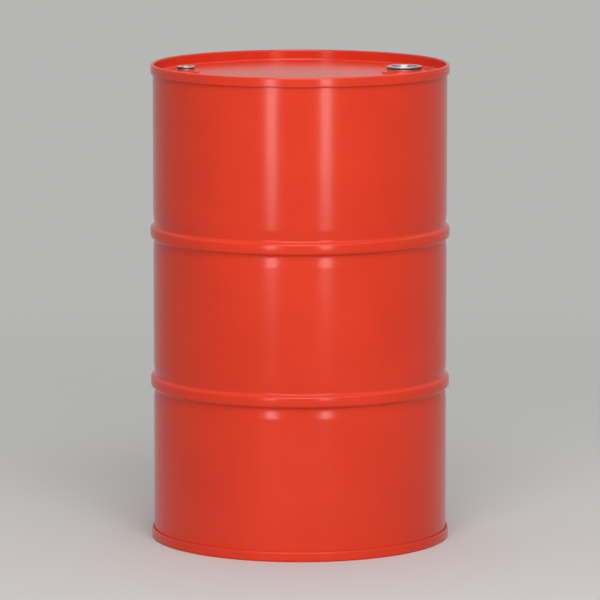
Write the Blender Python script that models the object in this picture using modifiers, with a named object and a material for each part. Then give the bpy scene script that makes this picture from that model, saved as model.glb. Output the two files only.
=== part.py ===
"""Tight-head steel drum: swaged shell, two seamed heads, two flanged bungs.

Metres, +Z up. The origin is at the centre of the ring that the drum stands on.
"""

import math
from dataclasses import dataclass

import bmesh
import bpy
from mathutils import Matrix, Vector

# Driving dimensions of the drum, in metres
DRUM_HEIGHT = 0.932
BODY_INSIDE_DIAMETER = 0.5715
BODY_SHEET = 0.0012
HEAD_SHEET = 0.0012
ROUND_STEPS = 48

# Rolled seam between the shell and each head
SEAM_HEIGHT = 0.019
COMPOUND_HEIGHT = 0.0027
FIT_GAP = 0.0003

# Rolling hoops
UPPER_HOOP_Z = 0.604
LOWER_HOOP_Z = 0.310
HOOP_STANDOUT = 0.0058
HOOP_CREST_HALF = 0.0075
HOOP_VALLEY_AT = 0.0150
HOOP_VALLEY_DEPTH = 0.0018
HOOP_HALF_WIDTH = 0.0370

# Heads
TOP_RECESS = 0.022
BOTTOM_RECESS = 0.020
PANEL_RISE = 0.0035
PANEL_INSET = 0.02775
PANEL_STEP_WIDTH = 0.008
CORNER_RADIUS = 0.005
PANEL_RADIUS = BODY_INSIDE_DIAMETER / 2 - PANEL_INSET

# Seats that the bung flanges lock into, and how far each bung's axis is inside the panel's edge
LARGE_BUNG_INSET = 0.055
SMALL_BUNG_INSET = 0.036
SEAT_RISE = 0.0035
COLLAR_RISE = 0.0030
NECK_LIP = 0.0008
SIDES_OF_SEAT = 8
CUTTER_OVERRUN = 0.003

RED = (0.70, 0.039, 0.012)
ZINC = (0.56, 0.57, 0.58)
RUBBER = (0.03, 0.03, 0.03)
COMPOUND = (0.10, 0.09, 0.08)


@dataclass(frozen=True)
class Bung:
    """Sizes of one threaded bung, in metres."""

    name: str
    centre_x: float
    thread_radius: float
    thread_fit: float
    neck_wall: float
    base_across_flats: float
    base_thickness: float
    gasket_width: float
    gasket_thickness: float
    plug_flange_radius: float
    plug_flange_thickness: float
    plug_depth: float
    plug_wall: float
    plug_floor: float
    lug_reach: float
    lug_width: float
    lug_height: float
    steps: int


LARGE_BUNG = Bung(
    name="large",
    centre_x=PANEL_RADIUS - LARGE_BUNG_INSET,
    thread_radius=0.0290,
    thread_fit=0.0005,
    neck_wall=0.0036,
    base_across_flats=0.084,
    base_thickness=0.0042,
    gasket_width=0.0044,
    gasket_thickness=0.0020,
    plug_flange_radius=0.0345,
    plug_flange_thickness=0.0030,
    plug_depth=0.0170,
    plug_wall=0.0036,
    plug_floor=0.0025,
    lug_reach=0.0070,
    lug_width=0.0100,
    lug_height=0.0080,
    steps=32,
)
SMALL_BUNG = Bung(
    name="small",
    centre_x=SMALL_BUNG_INSET - PANEL_RADIUS,
    thread_radius=0.0129,
    thread_fit=0.0005,
    neck_wall=0.0028,
    base_across_flats=0.048,
    base_thickness=0.0040,
    gasket_width=0.0034,
    gasket_thickness=0.0018,
    plug_flange_radius=0.0178,
    plug_flange_thickness=0.0030,
    plug_depth=0.0150,
    plug_wall=0.0030,
    plug_floor=0.0025,
    lug_reach=0.0032,
    lug_width=0.0060,
    lug_height=0.0070,
    steps=24,
)

# Layers of the rolled seam, from the inside out
LAYER_PITCH = BODY_SHEET / 2 + FIT_GAP + HEAD_SHEET / 2
WALL_R = BODY_INSIDE_DIAMETER / 2 + BODY_SHEET / 2
CHUCK_R = WALL_R - LAYER_PITCH
COVER_HOOK_R = WALL_R + LAYER_PITCH
BODY_HOOK_R = WALL_R + 2 * LAYER_PITCH
BEND_DEPTH = 2 * LAYER_PITCH + HEAD_SHEET / 2
SEAM_LOW_DEPTH = SEAM_HEIGHT - LAYER_PITCH - HEAD_SHEET / 2

# Levels of the top fittings
PANEL_Z = DRUM_HEIGHT - TOP_RECESS + PANEL_RISE
SEAT_Z = PANEL_Z + SEAT_RISE
COLLAR_Z = SEAT_Z + COLLAR_RISE
NECK_Z = COLLAR_Z + FIT_GAP + NECK_LIP
BASE_Z = SEAT_Z - HEAD_SHEET - FIT_GAP


def clear_scene():
    """Removes every object of the starting scene."""
    for obj in list(bpy.data.objects):
        bpy.data.objects.remove(obj, do_unlink=True)


def new_collection(name):
    """Returns a new collection linked to the scene."""
    collection = bpy.data.collections.new(name)
    bpy.context.scene.collection.children.link(collection)
    return collection


def new_material(name, colour, metallic, roughness):
    """Returns a Principled material."""
    material = bpy.data.materials.new(name)
    material.use_nodes = True
    shader = material.node_tree.nodes["Principled BSDF"]
    shader.inputs["Base Color"].default_value = (*colour, 1.0)
    shader.inputs["Metallic"].default_value = metallic
    shader.inputs["Roughness"].default_value = roughness
    return material


def bend(centre, radius, start, sweep, count):
    """Returns the corners of a bend whose straights touch the true arc.

    Args:
        centre: (radius, height) of the bend's centre.
        radius: radius of the sheet's centreline.
        start: angle of the first touching point, in degrees.
        sweep: signed angle of the bend, in degrees.
        count: number of corners.
    """
    step = sweep / count
    reach = radius / math.cos(math.radians(step / 2))
    corners = []
    for index in range(count):
        angle = math.radians(start + (index + 0.5) * step)
        corners.append((centre[0] + reach * math.cos(angle), centre[1] + reach * math.sin(angle)))
    return corners


def side_line(path, offset):
    """Returns the path moved sideways by the offset, with mitred corners."""
    points = [Vector(point) for point in path]
    normals = []
    for first, second in zip(points, points[1:]):
        along = (second - first).normalized()
        normals.append(Vector((-along.y, along.x)))
    moved = [points[0] + offset * normals[0]]
    for index in range(1, len(points) - 1):
        mitre = normals[index - 1] + normals[index]
        scale = offset * 2 / mitre.length_squared
        moved.append(points[index] + mitre * scale)
    moved.append(points[-1] + offset * normals[-1])
    return [tuple(point) for point in moved]


def sheet_outline(path, thickness):
    """Returns the outline of a bent sheet from its centreline."""
    left = side_line(path, thickness / 2)
    right = side_line(path, -thickness / 2)
    return left + right[::-1]


def outward(outline):
    """Returns the outline ordered so that its outer side runs downwards."""
    area = 0.0
    for first, second in zip(outline, outline[1:] + outline[:1]):
        area += first[0] * second[1] - second[0] * first[1]
    return outline if area < 0 else outline[::-1]


def turned(name, outline, steps, material, collection, start=0.0):
    """Returns an object made by turning an outline about its own Z axis.

    Args:
        name: name of the object.
        outline: (radius, height) corners. An outline with two corners on the axis stays open there.
        steps: number of steps in the full turn.
        material: the object's material.
        collection: where the object is linked.
        start: angle of the outline about Z, in radians.
    """
    corners = outward(outline)
    on_axis = [index for index, corner in enumerate(corners) if corner[0] < 1e-9]
    closed = not on_axis
    if on_axis:
        first = next(index for index in on_axis if corners[index - 1][0] < 1e-9)
        corners = corners[first:] + corners[:first]
    mesh = bpy.data.meshes.new(name)
    edges = [(index, index + 1) for index in range(len(corners) - 1)]
    if closed:
        edges.append((len(corners) - 1, 0))
    across = Vector((math.cos(start), math.sin(start), 0.0))
    mesh.from_pydata([corner[0] * across + Vector((0, 0, corner[1])) for corner in corners], edges, [])
    obj = bpy.data.objects.new(name, mesh)
    collection.objects.link(obj)
    screw = obj.modifiers.new("Turn", "SCREW")
    screw.axis = "Z"
    screw.steps = steps
    screw.render_steps = steps
    screw.use_merge_vertices = True
    screw.merge_threshold = 0.00001
    screw.use_smooth_shade = True
    mesh.materials.append(material)
    return obj


def prism(name, radius, low, high, sides, material, collection):
    """Returns an upright prism with a flat towards +X."""
    mesh = bpy.data.meshes.new(name)
    shape = bmesh.new()
    bmesh.ops.create_cone(
        shape, cap_ends=True, segments=sides, radius1=radius, radius2=radius, depth=high - low
    )
    turn = Matrix.Rotation(math.pi / sides, 4, "Z")
    bmesh.ops.transform(shape, matrix=Matrix.Translation((0, 0, (low + high) / 2)) @ turn, verts=shape.verts)
    shape.to_mesh(mesh)
    shape.free()
    obj = bpy.data.objects.new(name, mesh)
    collection.objects.link(obj)
    mesh.materials.append(material)
    return obj


def block(name, size, centre, material, collection):
    """Returns an upright box."""
    mesh = bpy.data.meshes.new(name)
    shape = bmesh.new()
    bmesh.ops.create_cube(shape, size=1.0, matrix=Matrix.Translation(centre) @ Matrix.Diagonal((*size, 1.0)))
    shape.to_mesh(mesh)
    shape.free()
    obj = bpy.data.objects.new(name, mesh)
    collection.objects.link(obj)
    mesh.materials.append(material)
    return obj


def combine(target, tool, operation):
    """Adds a boolean of the tool to the target and hides the tool."""
    modifier = target.modifiers.new(tool.name, "BOOLEAN")
    modifier.operation = operation
    modifier.solver = "EXACT"
    modifier.object = tool
    tool.hide_render = True
    tool.display_type = "WIRE"


def mirrored(path):
    """Returns a top path turned over for the bottom of the drum."""
    return [(radius, DRUM_HEIGHT - height) for radius, height in path]


def hoop_path(centre_z):
    """Returns the centreline of one swaged hoop, from above to below."""
    valley = WALL_R - HOOP_VALLEY_DEPTH
    crest = WALL_R + HOOP_STANDOUT
    upper = [
        (WALL_R, centre_z + HOOP_HALF_WIDTH),
        (valley, centre_z + HOOP_VALLEY_AT),
        (crest, centre_z + HOOP_CREST_HALF),
    ]
    return upper + [(radius, 2 * centre_z - height) for radius, height in upper[::-1]]


def body_path():
    """Returns the centreline of the shell, from its top hook to its bottom hook."""
    bend_z = DRUM_HEIGHT - BEND_DEPTH
    hook = [(BODY_HOOK_R, DRUM_HEIGHT - SEAM_LOW_DEPTH)]
    hook += bend((COVER_HOOK_R, bend_z), LAYER_PITCH, 0, 180, 4)
    return hook + hoop_path(UPPER_HOOP_Z) + hoop_path(LOWER_HOOP_Z) + mirrored(hook)[::-1]


def head_path(recess):
    """Returns the centreline of a top head, from its middle to its cover hook."""
    floor_z = DRUM_HEIGHT - recess - HEAD_SHEET / 2
    bend_z = DRUM_HEIGHT - BEND_DEPTH
    low_z = DRUM_HEIGHT - SEAM_LOW_DEPTH
    path = [
        (0.0, floor_z + PANEL_RISE),
        (PANEL_RADIUS, floor_z + PANEL_RISE),
        (PANEL_RADIUS + PANEL_STEP_WIDTH, floor_z),
    ]
    path += bend((CHUCK_R - CORNER_RADIUS, floor_z + CORNER_RADIUS), CORNER_RADIUS, -90, 90, 2)
    path += bend((COVER_HOOK_R, bend_z), 2 * LAYER_PITCH, 180, -180, 4)
    path += bend((BODY_HOOK_R, low_z), LAYER_PITCH, 0, -180, 4)
    path.append((COVER_HOOK_R, bend_z - COMPOUND_HEIGHT - FIT_GAP))
    return path


def compound_outline():
    """Returns the outline of the sealing compound inside the top seam."""
    inner = COVER_HOOK_R - HEAD_SHEET / 2
    outer = COVER_HOOK_R + HEAD_SHEET / 2
    high = DRUM_HEIGHT - BEND_DEPTH
    return [(outer, high), (outer, high - COMPOUND_HEIGHT), (inner, high - COMPOUND_HEIGHT), (inner, high)]


def flange_outline(bung):
    """Returns the outline of a bung flange with a round base."""
    bore = bung.thread_radius + bung.thread_fit
    neck = bore + bung.neck_wall
    groove = neck + bung.gasket_width + 2 * FIT_GAP
    groove_z = BASE_Z - bung.gasket_thickness - FIT_GAP
    rim = bung.base_across_flats
    low = BASE_Z - bung.base_thickness
    lip = neck + FIT_GAP + HEAD_SHEET
    return [
        (bore, NECK_Z),
        (lip, NECK_Z),
        (lip, COLLAR_Z + FIT_GAP),
        (neck, COLLAR_Z + FIT_GAP),
        (neck, groove_z),
        (groove, groove_z),
        (groove, BASE_Z),
        (rim, BASE_Z),
        (rim, low),
        (bore, low),
    ]


def plug_outline(bung):
    """Returns the outline of a cup-shaped plug."""
    under = NECK_Z + bung.gasket_thickness + 2 * FIT_GAP
    top = under + bung.plug_flange_thickness
    low = under - bung.plug_depth
    cup = bung.thread_radius - bung.plug_wall
    chamfer = bung.plug_floor / 2
    return [
        (cup, top),
        (bung.plug_flange_radius - chamfer, top),
        (bung.plug_flange_radius, top - chamfer),
        (bung.plug_flange_radius, under),
        (bung.thread_radius, under),
        (bung.thread_radius, low + chamfer),
        (bung.thread_radius - chamfer, low),
        (0.0, low),
        (0.0, low + bung.plug_floor),
        (cup, low + bung.plug_floor),
    ]


def ring_outline(inner, outer, low, high):
    """Returns the outline of a flat ring."""
    return [(inner, high), (outer, high), (outer, low), (inner, low)]


def build_seat(head, bung, red, cutters):
    """Presses the seat and the collared hole of one bung into the top head."""
    neck = bung.thread_radius + bung.thread_fit + bung.neck_wall
    half_flats = bung.base_across_flats / 2 + FIT_GAP
    to_corner = 1 / math.cos(math.pi / SIDES_OF_SEAT)
    mid_panel = PANEL_Z - HEAD_SHEET / 2
    mid_seat = SEAT_Z - HEAD_SHEET / 2
    hole = neck + FIT_GAP
    seat = prism(
        f"{bung.name}_seat",
        (half_flats + HEAD_SHEET) * to_corner,
        mid_panel,
        SEAT_Z,
        SIDES_OF_SEAT,
        red,
        cutters,
    )
    collar = prism(f"{bung.name}_collar", hole + HEAD_SHEET, mid_seat, COLLAR_Z, bung.steps, red, cutters)
    pocket = prism(
        f"{bung.name}_pocket",
        half_flats * to_corner,
        PANEL_Z - HEAD_SHEET - CUTTER_OVERRUN,
        SEAT_Z - HEAD_SHEET,
        SIDES_OF_SEAT,
        red,
        cutters,
    )
    bore = prism(
        f"{bung.name}_hole",
        hole,
        PANEL_Z - HEAD_SHEET - CUTTER_OVERRUN,
        COLLAR_Z + CUTTER_OVERRUN,
        bung.steps,
        red,
        cutters,
    )
    for tool in (seat, collar, pocket, bore):
        tool.location.x = bung.centre_x
    combine(head, seat, "UNION")
    combine(head, collar, "UNION")
    combine(head, pocket, "DIFFERENCE")
    combine(head, bore, "DIFFERENCE")


def build_bung(bung, parts, cutters):
    """Builds the flange, the plug and the two gaskets of one bung."""
    name = bung.name
    axis = bpy.data.objects.new(f"{name}_bung_axis", None)
    axis.location.x = bung.centre_x
    parts.objects.link(axis)
    neck = bung.thread_radius + bung.thread_fit + bung.neck_wall
    zinc_flange = new_material(f"{name}_flange_zinc", ZINC, 1.0, 0.35)
    flange = turned(f"{name}_flange", flange_outline(bung), bung.steps, zinc_flange, parts, math.pi / bung.steps)
    blank = prism(
        f"{name}_flange_blank",
        bung.base_across_flats / 2 / math.cos(math.pi / SIDES_OF_SEAT),
        BASE_Z - bung.base_thickness - CUTTER_OVERRUN,
        NECK_Z + CUTTER_OVERRUN,
        SIDES_OF_SEAT,
        zinc_flange,
        cutters,
    )
    combine(flange, blank, "INTERSECT")
    flange_gasket = turned(
        f"{name}_flange_gasket",
        ring_outline(
            neck + FIT_GAP,
            neck + FIT_GAP + bung.gasket_width,
            BASE_Z - bung.gasket_thickness,
            BASE_Z,
        ),
        bung.steps,
        new_material(f"{name}_flange_gasket_rubber", RUBBER, 0.0, 0.6),
        parts,
        math.pi / bung.steps,
    )
    plug_gasket = turned(
        f"{name}_plug_gasket",
        ring_outline(
            bung.thread_radius + bung.thread_fit,
            bung.plug_flange_radius - 2 * FIT_GAP,
            NECK_Z + FIT_GAP,
            NECK_Z + FIT_GAP + bung.gasket_thickness,
        ),
        bung.steps,
        new_material(f"{name}_plug_gasket_rubber", RUBBER, 0.0, 0.6),
        parts,
        math.pi / bung.steps,
    )
    zinc_plug = new_material(f"{name}_plug_zinc", ZINC, 1.0, 0.3)
    plug = turned(f"{name}_plug", plug_outline(bung), bung.steps, zinc_plug, parts, math.pi / bung.steps)
    floor = NECK_Z + bung.gasket_thickness + 2 * FIT_GAP - bung.plug_depth + bung.plug_floor
    inner = bung.thread_radius - bung.plug_wall
    sunk = bung.plug_floor / 2
    for side, turn in (("left", -1), ("right", 1)):
        lug = block(
            f"{name}_lug_{side}",
            (bung.lug_reach + bung.plug_wall / 2, bung.lug_width, bung.lug_height + sunk),
            (
                turn * (inner + (bung.plug_wall / 2 - bung.lug_reach) / 2),
                0,
                floor + (bung.lug_height - sunk) / 2,
            ),
            zinc_plug,
            cutters,
        )
        lug.parent = axis
        combine(plug, lug, "UNION")
    for piece in (flange, blank, flange_gasket, plug_gasket, plug):
        piece.parent = axis


def main():
    """Builds the drum."""
    clear_scene()
    parts = new_collection("steel_drum")
    cutters = new_collection("steel_drum_cutters")

    red_body = new_material("body_red", RED, 0.0, 0.25)
    turned("body_shell", sheet_outline(body_path(), BODY_SHEET), ROUND_STEPS, red_body, parts)

    red_top = new_material("top_head_red", RED, 0.0, 0.25)
    top_outline = sheet_outline(head_path(TOP_RECESS), HEAD_SHEET)
    top_head = turned("top_head", top_outline, ROUND_STEPS, red_top, parts)

    red_bottom = new_material("bottom_head_red", RED, 0.0, 0.25)
    bottom_outline = sheet_outline(mirrored(head_path(BOTTOM_RECESS)), HEAD_SHEET)
    turned("bottom_head", bottom_outline, ROUND_STEPS, red_bottom, parts)

    top_seal = new_material("top_compound", COMPOUND, 0.0, 0.7)
    turned("top_seam_compound", compound_outline(), ROUND_STEPS, top_seal, parts)
    bottom_seal = new_material("bottom_compound", COMPOUND, 0.0, 0.7)
    turned("bottom_seam_compound", mirrored(compound_outline()), ROUND_STEPS, bottom_seal, parts)

    for bung in (LARGE_BUNG, SMALL_BUNG):
        build_seat(top_head, bung, red_top, cutters)
        build_bung(bung, parts, cutters)


main()
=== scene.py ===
"""Looks of a tight-head steel drum: red enamelled sheet, zinc-plated bungs, rubber gaskets."""

import logging
import math
from collections.abc import Iterator, Sequence
from contextlib import contextmanager
from dataclasses import dataclass
from enum import Enum

import bmesh
import bpy
from bpy.types import Material, Mesh, Node, NodeSocket, NodeTree, Object
from mathutils import Matrix, Vector
from mathutils.geometry import delaunay_2d_cdt


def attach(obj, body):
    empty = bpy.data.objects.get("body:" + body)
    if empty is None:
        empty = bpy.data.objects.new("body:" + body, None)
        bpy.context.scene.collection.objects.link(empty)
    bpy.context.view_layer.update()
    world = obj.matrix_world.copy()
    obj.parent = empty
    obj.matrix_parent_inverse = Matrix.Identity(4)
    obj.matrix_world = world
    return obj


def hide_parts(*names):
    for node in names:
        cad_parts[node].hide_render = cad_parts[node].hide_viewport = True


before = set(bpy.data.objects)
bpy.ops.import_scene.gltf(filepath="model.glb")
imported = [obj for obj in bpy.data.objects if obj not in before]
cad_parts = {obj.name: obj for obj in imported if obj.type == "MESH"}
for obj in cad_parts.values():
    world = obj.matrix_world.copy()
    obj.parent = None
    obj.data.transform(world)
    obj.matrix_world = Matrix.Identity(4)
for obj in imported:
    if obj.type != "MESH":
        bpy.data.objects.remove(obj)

LOG = logging.getLogger("steel_drum")
Point = tuple[float, float]
Colour = tuple[float, float, float]
MM = 0.001
INCH = 0.0254
SHADER = "Principled BSDF"
WELD = 0.01 * MM
SEAM_MERGE = 0.002 * MM
TINY = 0.001 * MM
FLANK = (0.12, 0.88)
CREASE = math.radians(60.0)


class Body(Enum):
    """Rigid bodies that the pieces ride on."""

    DRUM = "drum"
    LARGE_GASKET = "large_plug_gasket_ring"
    LARGE_PLUG = "large_plug_cup"
    SMALL_GASKET = "small_plug_gasket_ring"
    SMALL_PLUG = "small_plug_cup"


class Slot(Enum):
    """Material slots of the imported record."""

    ENAMEL = "red_enamel"
    ZINC = "zinc_steel"
    RUBBER = "gasket_rubber"
    COMPOUND = "seam_compound"


class NodeSheet:
    """Adds and links the nodes of one node tree."""

    def __init__(self, tree: NodeTree) -> None:
        """Keeps the tree that the nodes go in."""
        self.tree = tree

    def fill(self, node: Node, values: dict) -> None:
        """Links or sets inputs of a node.

        Args:
            node: the node.
            values: output sockets to link or plain values to set, by the input's name or index.
        """
        for key, value in values.items():
            if isinstance(value, NodeSocket):
                self.tree.links.new(value, node.inputs[key])
            else:
                node.inputs[key].default_value = value

    def add(self, kind: str, values: dict | None = None, **settings: object) -> Node:
        """Adds a node.

        Args:
            kind: Blender's type name of the node.
            values: what goes in its inputs, as for fill.
            settings: properties to set on it.

        Returns:
            The new node.
        """
        node = self.tree.nodes.new(kind)
        for name, value in settings.items():
            setattr(node, name, value)
        self.fill(node, values or {})
        return node

    def maths(self, operation: str, *values: object) -> NodeSocket:
        """Adds a Math node for up to three values or sockets, and returns its output."""
        node = self.add("ShaderNodeMath", dict(enumerate(values)), operation=operation)
        return node.outputs[0]

    def ramp(self, value: object, low: object, high: object, start: float,
             end: float) -> NodeSocket:
        """Maps a value smoothly from one range to another.

        Args:
            value: socket to map.
            low: value where the ramp starts.
            high: value where the ramp ends.
            start: result at low.
            end: result at high.

        Returns:
            The mapped value.
        """
        values = {"Value": value, "From Min": low, "From Max": high, "To Min": start, "To Max": end}
        node = self.add("ShaderNodeMapRange", values, interpolation_type="SMOOTHSTEP")
        return node.outputs["Result"]

    def noise(self, vector: object, scale: object, detail: float,
              roughness: float = 0.5) -> NodeSocket:
        """Adds a noise texture and returns its value."""
        values = {"Vector": vector, "Scale": scale, "Detail": detail, "Roughness": roughness}
        return self.add("ShaderNodeTexNoise", values).outputs[0]

    def mix(self, share: object, first: object, second: object) -> NodeSocket:
        """Adds a mix of two colours and returns its result."""
        values = {"Factor": share, "A": first, "B": second}
        return self.add("ShaderNodeMix", values, data_type="RGBA").outputs["Result"]

    def blend(self, share: NodeSocket, first: Node, second: Node, output: str) -> None:
        """Mixes two shaders into the output node that has this name."""
        values = {0: share, 1: first.outputs[0], 2: second.outputs[0]}
        mixed = self.add("ShaderNodeMixShader", values)
        self.fill(self.tree.nodes[output], {"Surface": mixed.outputs[0]})


def node_group(name: str, kind: str, inputs: dict[str, str],
               outputs: dict[str, str]) -> tuple[NodeSheet, dict, Node]:
    """Starts a node group with named sockets.

    Args:
        name: name of the group.
        kind: Blender's type name of the tree.
        inputs: kinds of the input sockets by name.
        outputs: kinds of the output sockets by name.

    Returns:
        The sheet of the new tree, the sockets that bring its inputs, and its output node.
    """
    tree = bpy.data.node_groups.new(name, kind)
    for direction, sockets in (("INPUT", inputs), ("OUTPUT", outputs)):
        for label, sort in sockets.items():
            tree.interface.new_socket(label, in_out=direction, socket_type=f"NodeSocket{sort}")
    sheet = NodeSheet(tree)
    given = {socket.name: socket for socket in sheet.add("NodeGroupInput").outputs}
    return sheet, given, sheet.add("NodeGroupOutput")


def mottle_group() -> NodeTree:
    """Builds the group for the small unevenness of a finish.

    Returns:
        A group that puts out a slow drift, a fine grain and a surface height.
    """
    sheet, given, result = node_group(
        "mottle", "ShaderNodeTree",
        {"Drift Scale": "Float", "Grain Scale": "Float"},
        {"Drift": "Float", "Grain": "Float", "Height": "Float"},
    )
    drift_weight = 0.35
    place = sheet.add("ShaderNodeTexCoord").outputs["Object"]
    drift = sheet.noise(place, given["Drift Scale"], detail=3.0)
    grain = sheet.noise(place, given["Grain Scale"], detail=2.0)
    height = sheet.maths("MULTIPLY_ADD", drift, drift_weight, grain)
    sheet.fill(result, {"Drift": drift, "Grain": grain, "Height": height})
    return sheet.tree


def rub_group() -> NodeTree:
    """Builds the group for rubbed places far from the drum's axis.

    Returns:
        A group that puts out a mask of faint rub marks beyond a radius.
    """
    sheet, given, result = node_group(
        "rub_marks", "ShaderNodeTree",
        {"Inner Radius": "Float", "Outer Radius": "Float", "Share": "Float"},
        {"Mask": "Float"},
    )
    flattening = (1.0, 1.0, 7.0)
    mark_weight, patch_weight = 0.65, 0.35
    threshold_range, threshold_low = 0.5, 0.25
    mark_edge = 0.06
    place = sheet.add("ShaderNodeTexCoord").outputs["Object"]
    x, y, _ = sheet.add("ShaderNodeSeparateXYZ", {0: place}).outputs
    squares = sheet.maths("MULTIPLY_ADD", x, x, sheet.maths("MULTIPLY", y, y))
    radius = sheet.maths("SQRT", squares)
    reach = sheet.ramp(radius, given["Inner Radius"], given["Outer Radius"], 0.0, 1.0)
    stretch = sheet.add("ShaderNodeMapping", {"Vector": place, "Scale": flattening})
    marks = sheet.noise(stretch.outputs["Vector"], scale=38.0, detail=6.0, roughness=0.7)
    patches = sheet.noise(place, scale=6.0, detail=2.0)
    patches = sheet.maths("MULTIPLY", patches, patch_weight)
    both = sheet.maths("MULTIPLY_ADD", marks, mark_weight, patches)
    unrubbed = sheet.maths("SUBTRACT", 1.0, given["Share"])
    threshold = sheet.maths("MULTIPLY_ADD", unrubbed, threshold_range, threshold_low)
    mask = sheet.ramp(sheet.maths("SUBTRACT", both, threshold), 0.0, mark_edge, 0.0, 1.0)
    sheet.fill(result, {"Mask": sheet.maths("MULTIPLY", mask, reach)})
    return sheet.tree


@dataclass(frozen=True)
class Finish:
    """Plain values of one finish."""

    name: str
    colour: Colour
    deep: Colour
    roughness: tuple[float, float]
    drift_scale: float
    grain_scale: float
    bump_distance: float
    bump_strength: float
    metallic: float = 0.0
    specular: float = 0.5
    noise_range: tuple[float, float] = (0.3, 0.7)

    def start(self, mottle: NodeTree) -> tuple[Material, NodeSheet, dict]:
        """Makes the material with the mottle in its colour, roughness and bump.

        Args:
            mottle: the shared group of small unevenness.

        Returns:
            The material, its node sheet, and what the shader's inputs got.
        """
        material = bpy.data.materials.new(self.name)
        material.use_nodes = True
        sheet = NodeSheet(material.node_tree)
        scales = {"Drift Scale": self.drift_scale, "Grain Scale": self.grain_scale}
        uneven = sheet.add("ShaderNodeGroup", scales, node_tree=mottle).outputs
        drift = sheet.ramp(uneven["Drift"], *self.noise_range, 0.0, 1.0)
        bump = {"Strength": self.bump_strength, "Distance": self.bump_distance,
                "Height": uneven["Height"]}
        values = {
            "Metallic": self.metallic,
            "Specular IOR Level": self.specular,
            "Base Color": sheet.mix(drift, (*self.colour, 1.0), (*self.deep, 1.0)),
            "Roughness": sheet.ramp(uneven["Grain"], *self.noise_range, *self.roughness),
            "Normal": sheet.add("ShaderNodeBump", bump).outputs["Normal"],
        }
        sheet.fill(material.node_tree.nodes[SHADER], values)
        return material, sheet, values


@dataclass(frozen=True)
class RubbedEnamel:
    """Gloss enamel with faint rub marks beyond a radius."""

    paint: Finish
    worn: Colour
    rub_from: float
    rub_to: float
    rub_share: float
    fading: float = 0.55
    dulling: float = 0.22

    def material(self, mottle: NodeTree, rub: NodeTree) -> Material:
        """Builds the enamel.

        Args:
            mottle: the shared group of small unevenness.
            rub: the shared group of rub marks.

        Returns:
            The material.
        """
        material, sheet, made = self.paint.start(mottle)
        limits = {"Inner Radius": self.rub_from, "Outer Radius": self.rub_to,
                  "Share": self.rub_share}
        mask = sheet.add("ShaderNodeGroup", limits, node_tree=rub).outputs["Mask"]
        faded = sheet.maths("MULTIPLY", mask, self.fading)
        sheet.fill(material.node_tree.nodes[SHADER], {
            "Base Color": sheet.mix(faded, made["Base Color"], (*self.worn, 1.0)),
            "Roughness": sheet.maths("MULTIPLY_ADD", mask, self.dulling, made["Roughness"]),
        })
        return material


@dataclass(frozen=True)
class Line:
    """A turned profile as (radius, height) points, each with its share of the screw thread."""

    points: tuple[Point, ...]
    thread: tuple[float, ...]

    def __add__(self, other: "Line") -> "Line":
        """Joins two profiles end to end."""
        return Line(self.points + other.points, self.thread + other.thread)


def plain(points: Sequence[Point]) -> Line:
    """Returns a profile with no thread."""
    return Line(tuple(points), (0.0,) * len(points))


def arc(centre: Point, radius: float, start: float, end: float, steps: int = 8) -> list[Point]:
    """Returns the points of an arc between angles in degrees."""
    points = []
    for index in range(steps + 1):
        angle = math.radians(start + (end - start) * index / steps)
        points.append((centre[0] + radius * math.cos(angle), centre[1] + radius * math.sin(angle)))
    return points


def eased(share: float) -> float:
    """Returns a share from 0 to 1 that starts and ends slowly."""
    return 0.5 - 0.5 * math.cos(math.pi * share)


def ring(steps: int, radius: float, height: float, centre_x: float = 0.0,
         sides: int = 0) -> list[Vector]:
    """Returns a level ring of points.

    Args:
        steps: number of points.
        radius: radius of the circle, or half the width across the polygon's flats.
        height: level of the ring.
        centre_x: place of its middle.
        sides: number of sides of a rounded polygon, or 0 for a circle.
    """
    sharpness = 26.0
    points = []
    for index in range(steps):
        angle = 2 * math.pi * index / steps
        reach = radius
        if sides:
            total = 0.0
            for side in range(sides):
                total += max(0.0, math.cos(angle - side * 2 * math.pi / sides)) ** sharpness
            reach = radius / total ** (1 / sharpness)
        points.append(Vector((centre_x + reach * math.cos(angle), reach * math.sin(angle), height)))
    return points


def softened(corners: Sequence[Point], radius: float, steps: int = 4) -> list[Point]:
    """Rounds the corners of a closed outline.

    Args:
        corners: the outline's sharp corners.
        radius: radius of the rounding, cut down where an edge is short.
        steps: number of steps in each rounding.

    Returns:
        The rounded outline, with a point close to each end of every rounding.
    """
    edge_share, hold_share = 0.35, 0.25
    points: list[Point] = []
    count = len(corners)
    for index in range(count):
        here = Vector(corners[index])
        before = Vector(corners[index - 1]) - here
        after = Vector(corners[(index + 1) % count]) - here
        cut = min(radius, edge_share * before.length, edge_share * after.length)
        start = here + before.normalized() * cut
        end = here + after.normalized() * cut
        points.append(tuple(start + before.normalized() * hold_share * cut))
        for step in range(steps + 1):
            share = step / steps
            curve = (1 - share) ** 2 * start + 2 * share * (1 - share) * here + share**2 * end
            points.append(tuple(curve))
        points.append(tuple(end + after.normalized() * hold_share * cut))
    return points


def threaded(radius: float, low: float, high: float, pitch: float, downwards: bool) -> Line:
    """Returns a straight threaded stretch of a profile, which fades out at both ends."""
    steps_per_pitch, fade = 14, 0.6 * pitch
    steps = round((high - low) / pitch * steps_per_pitch)
    heights = [low + (high - low) * index / steps for index in range(1, steps)]
    if downwards:
        heights.reverse()
    thread = [min(1.0, min(height - low, high - height) / fade) for height in heights]
    return Line(tuple((radius, height) for height in heights), tuple(thread))


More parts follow.
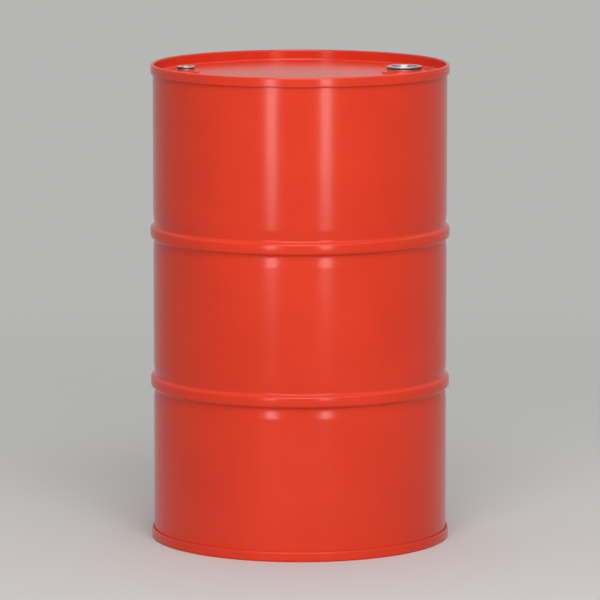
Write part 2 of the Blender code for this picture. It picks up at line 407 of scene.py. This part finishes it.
def turning_tree() -> NodeTree:
    """Builds the geometry nodes that turn a profile about an upright axis.

    Returns:
        A tree that lays the profile's points out in rings, cuts the thread and closes the seam.
    """
    sheet, given, result = node_group(
        "turned_piece", "GeometryNodeTree",
        {"Profile": "Geometry", "Steps": "Int", "Pitch": "Float", "Thread Depth": "Float",
         "Centre": "Vector", "Material": "Material"},
        {"Piece": "Geometry"},
    )
    profile, steps = given["Profile"], given["Steps"]
    size = sheet.add("GeometryNodeAttributeDomainSize", {"Geometry": profile}, component="MESH")
    count = size.outputs["Point Count"]
    columns = sheet.maths("ADD", steps, 1.0)
    rings = sheet.add("GeometryNodeMeshGrid", {"Vertices X": columns, "Vertices Y": count})
    index = sheet.add("GeometryNodeInputIndex").outputs[0]
    column = sheet.maths("FLOOR", sheet.maths("DIVIDE", index, count))
    row = sheet.maths("MODULO", index, count)
    place = sheet.add("GeometryNodeInputPosition").outputs[0]
    share = sheet.add("GeometryNodeInputNamedAttribute", {"Name": "thread"}, data_type="FLOAT")
    samples = []
    for sort, source in (("FLOAT_VECTOR", place), ("FLOAT", share.outputs["Attribute"])):
        values = {"Geometry": profile, "Value": source, "Index": row}
        sample = sheet.add("GeometryNodeSampleIndex", values, data_type=sort, domain="POINT")
        samples.append(sample.outputs["Value"])
    reach, _, height = sheet.add("ShaderNodeSeparateXYZ", {0: samples[0]}).outputs
    turn = sheet.maths("DIVIDE", column, steps)
    phase = sheet.maths("SUBTRACT", sheet.maths("DIVIDE", height, given["Pitch"]), turn)
    flank = sheet.maths("PINGPONG", sheet.maths("MULTIPLY", phase, 2.0), 1.0)
    wave = sheet.maths("MULTIPLY", sheet.ramp(flank, *FLANK, -0.5, 0.5), samples[1])
    radius = sheet.maths("ADD", reach, sheet.maths("MULTIPLY", wave, given["Thread Depth"]))
    angle = sheet.maths("MULTIPLY", turn, 2 * math.pi)
    spot = sheet.add("ShaderNodeCombineXYZ", {
        "X": sheet.maths("MULTIPLY", radius, sheet.maths("COSINE", angle)),
        "Y": sheet.maths("MULTIPLY", radius, sheet.maths("SINE", angle)),
        "Z": height,
    })
    values = {0: spot.outputs[0], 1: given["Centre"]}
    moved = sheet.add("ShaderNodeVectorMath", values, operation="ADD")
    piece = rings.outputs["Mesh"]
    for kind, values in (
        ("GeometryNodeSetPosition", {"Position": moved.outputs[0]}),
        ("GeometryNodeMergeByDistance", {"Distance": SEAM_MERGE}),
        ("GeometryNodeSetShadeSmooth", {}),
        ("GeometryNodeRealizeInstances", {}),
        ("GeometryNodeSetMaterial", {"Material": given["Material"]}),
    ):
        piece = sheet.add(kind, {"Geometry": piece, **values}).outputs["Geometry"]
    sheet.fill(result, {"Piece": piece})
    return sheet.tree


def add_object(name: str, mesh: Mesh) -> Object:
    """Returns a new object in the scene, at the origin."""
    obj = bpy.data.objects.new(name, mesh)
    bpy.context.scene.collection.objects.link(obj)
    return obj


def baked(obj: Object) -> Mesh:
    """Returns the evaluated mesh of an object, and removes it."""
    graph = bpy.context.evaluated_depsgraph_get()
    mesh = bpy.data.meshes.new_from_object(obj.evaluated_get(graph), depsgraph=graph)
    bpy.data.objects.remove(obj, do_unlink=True)
    return mesh


@dataclass
class Lathe:
    """Turns profiles into meshes with one geometry nodes tree."""

    tree: NodeTree

    def turn(self, line: Line, material: Material, steps: int, closed: bool = True,
             centre: Point = (0.0, 0.0), pitch: float = 1.0, depth: float = 0.0) -> Mesh:
        """Turns a profile about an upright axis.

        Args:
            line: the profile.
            material: the finish of the piece.
            steps: number of steps in the full turn.
            closed: whether the profile's ends meet.
            centre: place of the axis, as x and y.
            pitch: pitch of the thread.
            depth: depth of the thread.

        Returns:
            The turned mesh, facing outwards if it is closed.
        """
        if closed:
            line += Line(line.points[:1], line.thread[:1])
        profile = bpy.data.meshes.new("profile")
        profile.from_pydata([(radius, 0.0, height) for radius, height in line.points], [], [])
        attribute = profile.attributes.new("thread", "FLOAT", "POINT")
        attribute.data.foreach_set("value", line.thread)
        obj = add_object("profile", profile)
        modifier = obj.modifiers.new("turned_piece", "NODES")
        modifier.node_group = self.tree
        values = {"Steps": steps, "Pitch": pitch, "Thread Depth": depth,
                  "Centre": (*centre, 0.0), "Material": material}
        for item in self.tree.interface.items_tree:
            if item.name in values:
                modifier[item.identifier] = values[item.name]
        mesh = baked(obj)
        face_out(mesh)
        mesh.materials.clear()
        mesh.materials.append(material)
        mesh.polygons.foreach_set("material_index", [0] * len(mesh.polygons))
        return mesh


@contextmanager
def editing(mesh: Mesh) -> Iterator[bmesh.types.BMesh]:
    """Opens a mesh for editing, and writes the result back."""
    shape = bmesh.new()
    shape.from_mesh(mesh)
    yield shape
    shape.to_mesh(mesh)
    shape.free()


def face_out(mesh: Mesh) -> None:
    """Makes the faces of a mesh agree and point outwards."""
    with editing(mesh) as shape:
        bmesh.ops.dissolve_degenerate(shape, edges=shape.edges, dist=TINY)
        bmesh.ops.recalc_face_normals(shape, faces=shape.faces)


def joined(name: str, meshes: Sequence[Mesh]) -> Mesh:
    """Joins meshes into one, welded where they meet.

    Args:
        name: name of the new mesh.
        meshes: the meshes, which share the first one's material.

    Returns:
        The joined mesh.
    """
    result = bpy.data.meshes.new(name)
    with editing(result) as shape:
        for mesh in meshes:
            shape.from_mesh(mesh)
        bmesh.ops.remove_doubles(shape, verts=shape.verts, dist=WELD)
        for face in shape.faces:
            face.smooth = True
    result.materials.append(meshes[0].materials[0])
    return result


def united(mesh: Mesh, others: Sequence[Mesh]) -> Mesh:
    """Merges closed meshes into one closed surface, with sharp creases where they meet.

    Args:
        mesh: the main mesh.
        others: the meshes to merge into it.

    Returns:
        The merged mesh.
    """
    obj = add_object("united", mesh)
    tools = [add_object("tool", other) for other in others]
    for tool in tools:
        union = obj.modifiers.new("union", "BOOLEAN")
        union.operation, union.solver, union.object = "UNION", "EXACT", tool
    result = baked(obj)
    for tool in tools:
        bpy.data.objects.remove(tool, do_unlink=True)
    result.set_sharp_from_angle(angle=CREASE)
    return result


def add_piece(name: str, mesh: Mesh, body: Body, node: str) -> None:
    """Adds a finished piece in place of its CAD node.

    Args:
        name: name of the piece.
        mesh: its mesh, in place.
        body: the body that it moves with.
        node: the CAD node that it stands for.
    """
    piece = add_object(name, mesh)
    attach(piece, body.value)
    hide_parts(node)
    LOG.info("%s: %d faces, replaces %s", name, len(mesh.polygons), node)


@dataclass
class DrumSizes:
    """Sizes that the shell, the heads and the bungs share, in metres."""

    height: float = 0.932
    inside_diameter: float = 0.5715
    sheet: float = 0.0012
    seam_gap: float = 0.0003
    seam_height: float = 0.019
    top_recess: float = 0.022
    bottom_recess: float = 0.020
    panel_rise: float = 0.0035
    panel_radius: float = 0.258
    panel_step: float = 0.008
    corner_radius: float = 0.005
    seat_rise: float = 0.0035
    collar_rise: float = 0.0030
    neck_lip: float = 0.0008
    hold: float = 0.0015
    steps: int = 288

    def __post_init__(self) -> None:
        """Works out the seam's layers and the levels of the top fittings."""
        self.layer = self.sheet + self.seam_gap
        self.wall = self.inside_diameter / 2 + self.sheet / 2
        self.cover_hook = self.wall + self.layer
        self.body_hook = self.wall + 2 * self.layer
        self.bend_z = self.height - 2 * self.layer - self.sheet / 2
        self.low_z = self.height - self.seam_height + self.layer + self.sheet / 2
        self.panel_z = self.height - self.top_recess + self.panel_rise
        self.seat_z = self.panel_z + self.seat_rise
        self.collar_z = self.seat_z + self.collar_rise
        self.neck_z = self.collar_z + self.seam_gap + self.neck_lip
        self.base_z = self.seat_z - self.sheet - self.seam_gap
        self.flat_radius = self.panel_radius - self.hold


@dataclass
class SideWeld:
    """The flattened weld that closes the rolled shell, at the back."""

    sizes: DrumSizes
    column: float = 105.5
    half_width: float = 0.0022
    flat_share: float = 0.4
    rise: float = 0.00025
    fade: float = 0.008
    tolerance: float = 1e-7

    def press(self, mesh: Mesh) -> None:
        """Raises the weld on both sides of the sheet.

        Args:
            mesh: the shell, whose column of faces at the weld is wider than the weld.
        """
        angle = 2 * math.pi * self.column / self.sizes.steps
        along = Vector((math.cos(angle), math.sin(angle), 0.0))
        across = Vector((-along.y, along.x, 0.0))
        between_cuts = (1 + self.flat_share) / 2 * self.half_width
        with editing(mesh) as shape:
            for share in (-1.0, -self.flat_share, self.flat_share, 1.0):
                faces = [face for face in shape.faces
                         if self.near(face.calc_center_median(), along, across)]
                edges = {edge for face in faces for edge in face.edges}
                points = {point for face in faces for point in face.verts}
                bmesh.ops.bisect_plane(shape, geom=[*faces, *edges, *points], dist=self.tolerance,
                                       plane_co=share * self.half_width * across, plane_no=across)
            shape.normal_update()
            for point in shape.verts:
                if point.co.dot(along) > 0 and abs(point.co.dot(across)) < between_cuts:
                    side = 1.0 if point.normal.dot(along) > 0 else -1.0
                    point.co += side * self.height_at(point.co.z) * along

    def near(self, place: Vector, along: Vector, across: Vector) -> bool:
        """Returns whether a place is in the column of faces that has the weld."""
        column_half = math.pi * self.sizes.wall / self.sizes.steps
        return place.dot(along) > 0 and abs(place.dot(across)) < column_half

    def height_at(self, level: float) -> float:
        """Returns the weld's height at a level, which fades out near each seam."""
        inside = min(level, self.sizes.height - level) - self.sizes.seam_height
        return self.rise * min(1.0, max(0.0, inside / self.fade))


@dataclass
class Shell:
    """The rolled shell with its two swaged hoops."""

    sizes: DrumSizes
    hoop_heights: tuple[float, float] = (0.604, 0.310)
    standout: float = 0.0058
    valley_depth: float = 0.0018
    valley_at: float = 0.0150
    half_width: float = 0.0370
    crest_half: float = 0.0075
    crest_drop: float = 0.06
    flank_ease: float = 0.11
    hoop_steps: int = 56

    def offset(self, distance: float) -> float:
        """Returns how far the hoop stands out at a distance from its middle line."""
        if distance <= self.crest_half:
            drop = self.crest_drop * self.standout * (distance / self.crest_half) ** 2
            return self.standout - drop
        if distance <= self.valley_at:
            share = (distance - self.crest_half) / (self.valley_at - self.crest_half)
            top = (1 - self.crest_drop) * self.standout
            fall = share - self.flank_ease * math.sin(2 * math.pi * share)
            return top - (top + self.valley_depth) * fall
        share = (distance - self.valley_at) / (self.half_width - self.valley_at)
        return -self.valley_depth * 0.5 * (1 + math.cos(math.pi * min(share, 1.0)))

    def side(self, radius: float, hook: float, bend: float) -> list[Point]:
        """Returns one side of the sheet, from its top hook to its bottom hook.

        Args:
            radius: radius of that side of the wall.
            hook: radius of that side of the hook.
            bend: radius of that side of the bend.
        """
        sizes = self.sizes
        top = [(hook, sizes.low_z)] + arc((sizes.cover_hook, sizes.bend_z), bend, 0, 180)
        top.append((radius, sizes.bend_z - sizes.hold))
        points = list(top)
        for middle in self.hoop_heights:
            for index in range(self.hoop_steps + 1):
                distance = self.half_width * (1 - 2 * index / self.hoop_steps)
                points.append((radius + self.offset(abs(distance)), middle + distance))
        points += [(place, sizes.height - height) for place, height in top[::-1]]
        return points

    def build(self, lathe: Lathe, material: Material) -> None:
        """Builds the shell from both sides of its sheet."""
        sizes = self.sizes
        half = sizes.sheet / 2
        outside = self.side(sizes.wall + half, sizes.body_hook - half, sizes.layer - half)
        inside = self.side(sizes.wall - half, sizes.body_hook + half, sizes.layer + half)
        mesh = lathe.turn(plain(outside + inside[::-1]), material, sizes.steps)
        SideWeld(sizes).press(mesh)
        add_piece("red_shell", mesh, Body.DRUM, "body_shell")


@dataclass
class Bung:
    """One bung: its flange, its plug, both gaskets, and its seat in the head."""

    name: str
    sizes: DrumSizes
    gasket_body: Body
    plug_body: Body
    centre_x: float
    thread_radius: float
    pitch: float
    thread_depth: float
    neck_wall: float
    base_flats: float
    base_thickness: float
    gasket_width: float
    gasket_thickness: float
    rim_radius: float
    plug_depth: float
    plug_wall: float
    lug_reach: float
    lug_width: float
    lug_height: float
    thread_fit: float = 0.0005
    rim_thickness: float = 0.0030
    plug_floor: float = 0.0025
    steps: int = 128

    def __post_init__(self) -> None:
        """Works out the radii of the neck and its hole."""
        self.bore = self.thread_radius + self.thread_fit
        self.neck = self.bore + self.neck_wall
        self.hole = self.neck + self.sizes.seam_gap
        self.seat_half = self.base_flats / 2 + self.sizes.seam_gap + self.sizes.sheet

    def octagon(self, half: float, height: float) -> list[Vector]:
        """Returns the points of a rounded octagon, with flats at this half width."""
        return ring(self.steps, half, height, self.centre_x, sides=8)

    def circle(self, radius: float, height: float) -> list[Vector]:
        """Returns the points of a circle about the bung's axis."""
        return ring(self.steps, radius, height, self.centre_x)

    def seat_rings(self) -> list[list[Vector]]:
        """Returns the rings of the pressed seat, from its foot to its hole."""
        sizes = self.sizes
        slope, slope_steps, foot_share = 2.2 * MM, 10, 0.6
        bend, bend_steps = 1.4 * MM, 6
        flat_share = 1.4
        foot = self.seat_half + foot_share * slope + sizes.hold
        rings = [self.octagon(foot, sizes.panel_z)]
        for index in range(slope_steps + 1):
            share = index / slope_steps
            half = self.seat_half + slope * (foot_share - share)
            rings.append(self.octagon(half, sizes.panel_z + eased(share) * sizes.seat_rise))
        rings.append(self.octagon(self.seat_half - flat_share * slope, sizes.seat_z))
        outer = self.hole + sizes.sheet
        rings.append(self.circle(outer + flat_share * bend, sizes.seat_z))
        for place in arc((outer + bend, sizes.seat_z + bend), bend, -90, -180, bend_steps):
            rings.append(self.circle(*place))
        rings.append(self.circle(outer, sizes.collar_z))
        return rings

    def build_flange(self, lathe: Lathe, zinc: Material) -> None:
        """Builds the threaded flange with its eight-sided base and crimped lip."""
        sizes = self.sizes
        low = sizes.base_z - self.base_thickness
        lip = self.hole + sizes.sheet
        under_lip = sizes.collar_z + sizes.seam_gap
        groove = self.neck + self.gasket_width + 2 * sizes.seam_gap
        groove_z = sizes.base_z - self.gasket_thickness - sizes.seam_gap
        corners = [(self.neck, low), (self.bore, low), (self.bore, sizes.neck_z),
                   (lip, sizes.neck_z), (lip, under_lip), (self.neck, under_lip),
                   (self.neck, groove_z)]
        rounding, edge = 0.4 * MM, 0.5 * MM
        rounded = softened(corners, rounding)
        each = len(rounded) // len(corners)
        wall = threaded(self.bore, low + edge, sizes.neck_z - edge, self.pitch, downwards=False)
        foot = plain(corners[:1] + rounded[each:2 * each])
        mouth = plain(rounded[2 * each:-each] + corners[-1:])
        neck = lathe.turn(foot + wall + mouth, zinc, self.steps, closed=False,
                          centre=(self.centre_x, 0.0), pitch=self.pitch, depth=self.thread_depth)
        half = self.base_flats / 2
        rings = [
            self.circle(self.neck, groove_z),
            self.circle(groove, groove_z),
            self.circle(groove, sizes.base_z),
            self.octagon(half - edge, sizes.base_z),
            self.octagon(half, sizes.base_z - edge),
            self.octagon(half, low + edge),
            self.octagon(half - edge, low),
            self.circle(self.neck, low),
        ]
        mesh = joined("flange", (neck, strip_mesh("base", rings)))
        face_out(mesh)
        name = f"{self.name}_zinc_flange"
        add_piece(name, mesh, Body.DRUM, f"{self.name}_flange")

    def build_gaskets(self, lathe: Lathe, rubber: Material) -> None:
        """Builds the gasket under the head and the gasket under the plug's rim."""
        sizes = self.sizes
        gap = sizes.seam_gap
        rounding = 0.7 * MM
        flange_low = sizes.base_z - self.gasket_thickness
        plug_low = sizes.neck_z + gap
        rings = (
            ("flange", self.hole, self.hole + self.gasket_width, flange_low, Body.DRUM),
            ("plug", self.bore, self.rim_radius - 2 * gap, plug_low, self.gasket_body),
        )
        for kind, inner, outer, low, body in rings:
            high = low + self.gasket_thickness
            corners = [(inner, high), (outer, high), (outer, low), (inner, low)]
            outline = plain(softened(corners, rounding))
            mesh = lathe.turn(outline, rubber, self.steps, centre=(self.centre_x, 0.0))
            name = f"{self.name}_{kind}"
            add_piece(f"{name}_rubber_ring", mesh, body, f"{name}_gasket")

    def build_plug(self, lathe: Lathe, zinc: Material) -> None:
        """Builds the cup-shaped plug with its outer thread and wrench lugs."""
        sizes = self.sizes
        under = sizes.neck_z + self.gasket_thickness + 2 * sizes.seam_gap
        top = under + self.rim_thickness
        low = under - self.plug_depth
        cup = self.thread_radius - self.plug_wall
        floor = low + self.plug_floor
        chamfer, rounding = 1.2 * MM, 0.9 * MM
        fillet, fillet_steps, flat_margin = 2 * MM, 6, 2.5 * MM
        relief = self.thread_radius - 0.3 * MM
        corners = [(cup, top), (self.rim_radius, top), (self.rim_radius, under), (relief, under)]
        upper = softened(corners, rounding)
        end = [(relief, low + chamfer), (relief - chamfer, low), (0.0, low)]
        inside = [(0.0, floor), (cup - flat_margin, floor)]
        inside += arc((cup - fillet, floor + fillet), fillet, -90, 0, fillet_steps)
        shank = threaded(relief, low + chamfer, under - chamfer, self.pitch, downwards=True)
        mesh = lathe.turn(plain(upper) + shank + plain(end + inside), zinc, self.steps,
                          centre=(self.centre_x, 0.0), pitch=self.pitch, depth=self.thread_depth)
        mesh = united(mesh, [self.lug(side, cup, floor, zinc) for side in (-1, 1)])
        name = f"{self.name}_zinc_plug"
        add_piece(name, mesh, self.plug_body, f"{self.name}_plug")

    def lug(self, side: int, cup: float, floor: float, zinc: Material) -> Mesh:
        """Builds one wrench lug on the cup's wall.

        Args:
            side: -1 or 1, for the wall towards -X or +X.
            cup: inside radius of the cup.
            floor: height of the cup's floor.
            zinc: the finish.

        Returns:
            The lug, in place.
        """
        sunk, bevel, bevel_steps = 1.0 * MM, 0.8 * MM, 3
        size = Vector((self.lug_reach + sunk, self.lug_width, self.lug_height + sunk))
        middle = Vector((self.centre_x + side * (cup + (sunk - self.lug_reach) / 2), 0.0,
                         floor + (self.lug_height - sunk) / 2))
        place = Matrix.Translation(middle) @ Matrix.Diagonal((*size, 1.0))
        mesh = bpy.data.meshes.new("lug")
        with editing(mesh) as shape:
            bmesh.ops.create_cube(shape, matrix=place)
            bmesh.ops.bevel(shape, geom=shape.edges[:], offset=bevel, segments=bevel_steps,
                            affect="EDGES", profile=0.5)
            for face in shape.faces:
                face.smooth = True
        mesh.materials.append(zinc)
        return mesh


def strip_mesh(name: str, rings: Sequence[Sequence[Vector]]) -> Mesh:
    """Builds quads between rings of equal length.

    Args:
        name: name of the mesh.
        rings: the rings, in order.

    Returns:
        The new mesh, open at its first and last ring.
    """
    count = len(rings[0])
    faces = []
    for first in range(0, count * (len(rings) - 1), count):
        second = first + count
        for index in range(count):
            after = (index + 1) % count
            faces.append((first + index, first + after, second + after, second + index))
    mesh = bpy.data.meshes.new(name)
    mesh.from_pydata([point for loop in rings for point in loop], [], faces)
    return mesh


@dataclass
class Head:
    """A pressed head whose rim is rolled over the shell's edge."""

    sizes: DrumSizes

    def rim(self, recess: float) -> list[Point]:
        """Returns the outer face of a top head, from inside its seam to its panel's edge."""
        sizes = self.sizes
        half = sizes.sheet / 2
        floor = sizes.height - recess
        corner = sizes.corner_radius
        chuck = sizes.wall - sizes.layer
        hold = sizes.hold
        points = arc((sizes.body_hook, sizes.low_z), sizes.layer + half, -180, 0, steps=12)
        points += [(points[-1][0], sizes.low_z + hold), (points[-1][0], sizes.bend_z - hold)]
        points += arc((sizes.cover_hook, sizes.bend_z), 2 * sizes.layer + half, 0, 180, steps=18)
        points += [(chuck - half, sizes.bend_z - hold),
                   (chuck - half, floor + corner - half + hold)]
        points += arc((chuck - corner, floor + corner - half), corner - half, 0, -90)
        points.append((points[-1][0] - hold, floor))
        start = sizes.panel_radius + sizes.panel_step
        step_count = 12
        for index in range(step_count + 1):
            share = index / step_count
            height = floor + eased(share) * sizes.panel_rise
            points.append((start - share * sizes.panel_step, height))
        points.append((sizes.flat_radius, floor + sizes.panel_rise))
        return points

    def thicken(self, mesh: Mesh, upright: bool) -> Mesh:
        """Gives an outer face the sheet's thickness, inwards.

        Args:
            mesh: the outer face.
            upright: whether the panel faces up.

        Returns:
            The closed sheet.
        """
        with editing(mesh) as shape:
            bmesh.ops.recalc_face_normals(shape, faces=shape.faces)
            panel = min(shape.faces, key=lambda face: face.calc_center_median().xy.length)
            if (panel.normal.z > 0) != upright:
                bmesh.ops.reverse_faces(shape, faces=shape.faces)
        obj = add_object("head", mesh)
        solidify = obj.modifiers.new("sheet", "SOLIDIFY")
        solidify.thickness = self.sizes.sheet
        solidify.offset = -1.0
        solidify.use_even_offset = True
        return baked(obj)

    def build_bottom(self, lathe: Lathe, material: Material) -> None:
        """Builds the bottom head, whose panel is plain."""
        height = self.sizes.height
        line = [(radius, height - z) for radius, z in self.rim(self.sizes.bottom_recess)]
        panel = line[-1][1]
        line += [(0.5 * self.sizes.panel_radius, panel), (0.0, panel)]
        outer = lathe.turn(plain(line), material, self.sizes.steps, closed=False)
        mesh = self.thicken(outer, upright=False)
        add_piece("red_bottom_head", mesh, Body.DRUM, "bottom_head")

    def build_top(self, lathe: Lathe, material: Material, bungs: Sequence[Bung]) -> None:
        """Builds the top head with a pressed seat for each bung.

        Args:
            lathe: turns the rim.
            material: the finish.
            bungs: the bungs that the head carries.
        """
        sizes = self.sizes
        line = plain(self.rim(sizes.top_recess))
        rim = lathe.turn(line, material, sizes.steps, closed=False)
        seats = []
        loops = [ring(sizes.steps, sizes.flat_radius, 0.0)]
        for bung in bungs:
            rings = bung.seat_rings()
            seats.append(strip_mesh("seat", rings))
            loops.append(rings[0][::-1])
        sheet = joined("top_head", (rim, self.panel(loops), *seats))
        mesh = self.thicken(sheet, upright=True)
        add_piece("red_top_head", mesh, Body.DRUM, "top_head")

    def panel(self, loops: Sequence[Sequence[Vector]]) -> Mesh:
        """Fills the flat panel between its edge and the seats.

        Args:
            loops: the edge, then the foot of each seat in the other direction.

        Returns:
            The flat panel.
        """
        points: list[Vector] = []
        outlines: list[list[int]] = []
        for loop in loops:
            first = len(points)
            points += [point.xy for point in loop]
            outlines.append(list(range(first, len(points))))
        keep_holes, tolerance = 2, 1e-7
        filled = delaunay_2d_cdt(points, [], outlines, keep_holes, tolerance)
        mesh = bpy.data.meshes.new("panel")
        mesh.from_pydata([(*point, self.sizes.panel_z) for point in filled[0]], [], filled[2])
        return mesh


@dataclass
class SeamCompound:
    """The ring of sealing compound inside each seam."""

    sizes: DrumSizes
    height: float = 0.0027
    rounding: float = 0.4 * MM

    def build(self, lathe: Lathe, material: Material) -> None:
        """Builds the rings of the top and bottom seams."""
        sizes = self.sizes
        inner = sizes.cover_hook - sizes.sheet / 2
        outer = sizes.cover_hook + sizes.sheet / 2
        high = sizes.bend_z
        low = high - self.height
        corners = [(inner, high), (outer, high), (outer, low), (inner, low)]
        upturned = [(radius, sizes.height - z) for radius, z in corners[::-1]]
        for end, outline in (("top", corners), ("bottom", upturned)):
            line = plain(softened(outline, self.rounding))
            mesh = lathe.turn(line, material, sizes.steps)
            name = f"{end}_compound_ring"
            add_piece(name, mesh, Body.DRUM, f"{end}_seam_compound")


@dataclass
class Studio:
    """The floor, the lamps and the camera."""

    target: Vector
    elevation: float = math.radians(8.2)
    distance: float = 9.8
    lens: float = 300.0
    floor_half: float = 30.0
    floor_colour: Colour = (0.58, 0.58, 0.572)
    background: Colour = (0.47, 0.47, 0.465)
    surround: float = 0.17
    fade: tuple[float, float] = (0.6, 3.5)

    def build(self) -> None:
        """Sets up everything around the drum."""
        self.add_floor()
        self.add_world()
        self.add_camera()
        for name, azimuth in (("left_strip", -21.5), ("right_strip", 19.5)):
            self.add_lamp(name, azimuth, height=0.86, away=5.0, size=(0.64, 1.6), power=27.0)
        self.add_lamp("front_soft", azimuth=2.0, height=4.6, away=4.0, size=(3.4, 4.0), power=228.0)
        self.add_lamp("right_fill", azimuth=40.0, height=3.6, away=4.0, size=(2.4, 2.4), power=22.0)
        self.add_lamp("overhead", azimuth=180.0, height=5.0, away=1.2, size=(6.0, 6.0), power=115.0)

    def seen(self, sheet: NodeSheet) -> NodeSocket:
        """Builds a mask of the rays that show the background, straight or mirrored."""
        path = sheet.add("ShaderNodeLightPath").outputs
        shown = sheet.maths("ADD", path["Is Camera Ray"], path["Is Glossy Ray"])
        return sheet.maths("MINIMUM", sheet.maths("ADD", shown, path["Is Transmission Ray"]), 1.0)

    def add_floor(self) -> None:
        """Adds the pale floor, which fades into the background away from the drum."""
        half = self.floor_half
        corners = [(-half, -half, 0), (half, -half, 0), (half, half, 0), (-half, half, 0)]
        mesh = bpy.data.meshes.new("floor")
        mesh.from_pydata(corners, [], [(0, 1, 2, 3)])
        material = bpy.data.materials.new("pale_floor")
        material.use_nodes = True
        sheet = NodeSheet(material.node_tree)
        shader = material.node_tree.nodes[SHADER]
        sheet.fill(shader, {"Base Color": (*self.floor_colour, 1.0), "Roughness": 0.7,
                            "Specular IOR Level": 0.1})
        glow = sheet.add("ShaderNodeEmission", {"Color": (*self.background, 1.0)})
        place = sheet.add("ShaderNodeTexCoord").outputs["Object"]
        length = sheet.add("ShaderNodeVectorMath", {0: place}, operation="LENGTH").outputs["Value"]
        far = sheet.ramp(length, *self.fade, 0.0, 1.0)
        share = sheet.maths("MULTIPLY", far, self.seen(sheet))
        sheet.blend(share, shader, glow, "Material Output")
        mesh.materials.append(material)
        add_object("floor", mesh)

    def add_world(self) -> None:
        """Adds an even surround, with the background where it shows."""
        world = bpy.data.worlds.new("surround")
        world.use_nodes = True
        sheet = NodeSheet(world.node_tree)
        light = world.node_tree.nodes["Background"]
        sheet.fill(light, {"Color": (1.0, 1.0, 1.0, 1.0), "Strength": self.surround})
        shown = sheet.add("ShaderNodeBackground", {"Color": (*self.background, 1.0)})
        sheet.blend(self.seen(sheet), light, shown, "World Output")
        bpy.context.scene.world = world

    def add_camera(self) -> None:
        """Adds the camera at the photograph's viewing angle."""
        data = bpy.data.cameras.new("camera")
        data.lens = self.lens
        data.clip_end = 100.0
        camera = bpy.data.objects.new("camera", data)
        away = Vector((0.0, -math.cos(self.elevation), math.sin(self.elevation)))
        camera.location = self.target + self.distance * away
        camera.rotation_euler = (-away).to_track_quat("-Z", "Y").to_euler()
        bpy.context.scene.collection.objects.link(camera)
        bpy.context.scene.camera = camera

    def add_lamp(self, name: str, azimuth: float, height: float, away: float, size: Point,
                 power: float) -> None:
        """Adds a soft lamp aimed at the drum.

        Args:
            name: name of the lamp.
            azimuth: degrees round the drum from the camera's side, positive to the right.
            height: height of the lamp.
            away: distance from the drum's axis.
            size: width and height of the lamp.
            power: power in watts.
        """
        data = bpy.data.lights.new(name, "AREA")
        data.shape = "RECTANGLE"
        data.size, data.size_y = size
        data.energy = power
        lamp = bpy.data.objects.new(name, data)
        angle = math.radians(azimuth)
        lamp.location = (away * math.sin(angle), -away * math.cos(angle), height)
        lamp.rotation_euler = (self.target - lamp.location).to_track_quat("-Z", "Y").to_euler()
        bpy.context.scene.collection.objects.link(lamp)


def main() -> None:
    """Builds the drum's pieces and the studio."""
    logging.basicConfig(level=logging.INFO, format="%(message)s")
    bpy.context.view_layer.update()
    bpy.context.scene.view_settings.view_transform = "Standard"
    sizes = DrumSizes()
    lathe = Lathe(turning_tree())
    mottle = mottle_group()
    rub = rub_group()

    gloss = Finish("gloss_red_enamel", colour=(0.72, 0.040, 0.012), deep=(0.67, 0.035, 0.010),
                   roughness=(0.15, 0.21), drift_scale=5.0, grain_scale=420.0,
                   bump_distance=0.12 * MM, bump_strength=0.03, specular=0.30)
    worn = (0.46, 0.060, 0.040)
    shell_red = RubbedEnamel(gloss, worn, rub_from=0.2905, rub_to=0.2927, rub_share=0.30)
    head_red = RubbedEnamel(gloss, worn, rub_from=0.2900, rub_to=0.2914, rub_share=0.34)
    shell_paint, head_paint = (red.material(mottle, rub) for red in (shell_red, head_red))
    plated = Finish("bright_zinc", colour=(0.60, 0.62, 0.64), deep=(0.51, 0.525, 0.54),
                    metallic=1.0, roughness=(0.26, 0.42), drift_scale=60.0, grain_scale=900.0,
                    bump_distance=0.08 * MM, bump_strength=0.15)
    black = Finish("black_rubber", colour=(0.028, 0.028, 0.029), deep=(0.020, 0.020, 0.021),
                   roughness=(0.50, 0.66), drift_scale=80.0, grain_scale=1400.0,
                   bump_distance=0.10 * MM, bump_strength=0.25)
    grey = Finish("grey_compound", colour=(0.10, 0.09, 0.08), deep=(0.08, 0.072, 0.065),
                  roughness=(0.6, 0.75), drift_scale=60.0, grain_scale=700.0,
                  bump_distance=0.15 * MM, bump_strength=0.3)
    zinc, rubber, compound = (finish.start(mottle)[0] for finish in (plated, black, grey))

    bungs = (
        Bung("large", sizes, Body.LARGE_GASKET, Body.LARGE_PLUG, centre_x=0.203,
             thread_radius=0.0290, pitch=INCH / 11, thread_depth=0.0011, neck_wall=0.0036,
             base_flats=0.084, base_thickness=0.0042, gasket_width=0.0044, gasket_thickness=0.0020,
             rim_radius=0.0345, plug_depth=0.0170, plug_wall=0.0036, lug_reach=0.0070,
             lug_width=0.0100, lug_height=0.0080),
        Bung("small", sizes, Body.SMALL_GASKET, Body.SMALL_PLUG, centre_x=-0.222,
             thread_radius=0.0129, pitch=INCH / 14, thread_depth=0.0009, neck_wall=0.0028,
             base_flats=0.048, base_thickness=0.0040, gasket_width=0.0034, gasket_thickness=0.0018,
             rim_radius=0.0178, plug_depth=0.0150, plug_wall=0.0030, lug_reach=0.0032,
             lug_width=0.0060, lug_height=0.0070),
    )
    Shell(sizes).build(lathe, shell_paint)
    head = Head(sizes)
    head.build_top(lathe, head_paint, bungs)
    head.build_bottom(lathe, head_paint)
    SeamCompound(sizes).build(lathe, compound)
    for bung in bungs:
        bung.build_flange(lathe, zinc)
        bung.build_gaskets(lathe, rubber)
        bung.build_plug(lathe, zinc)
    Studio(Vector((0.0, 0.0, sizes.height / 2))).build()


if __name__ == "__main__":
    main()
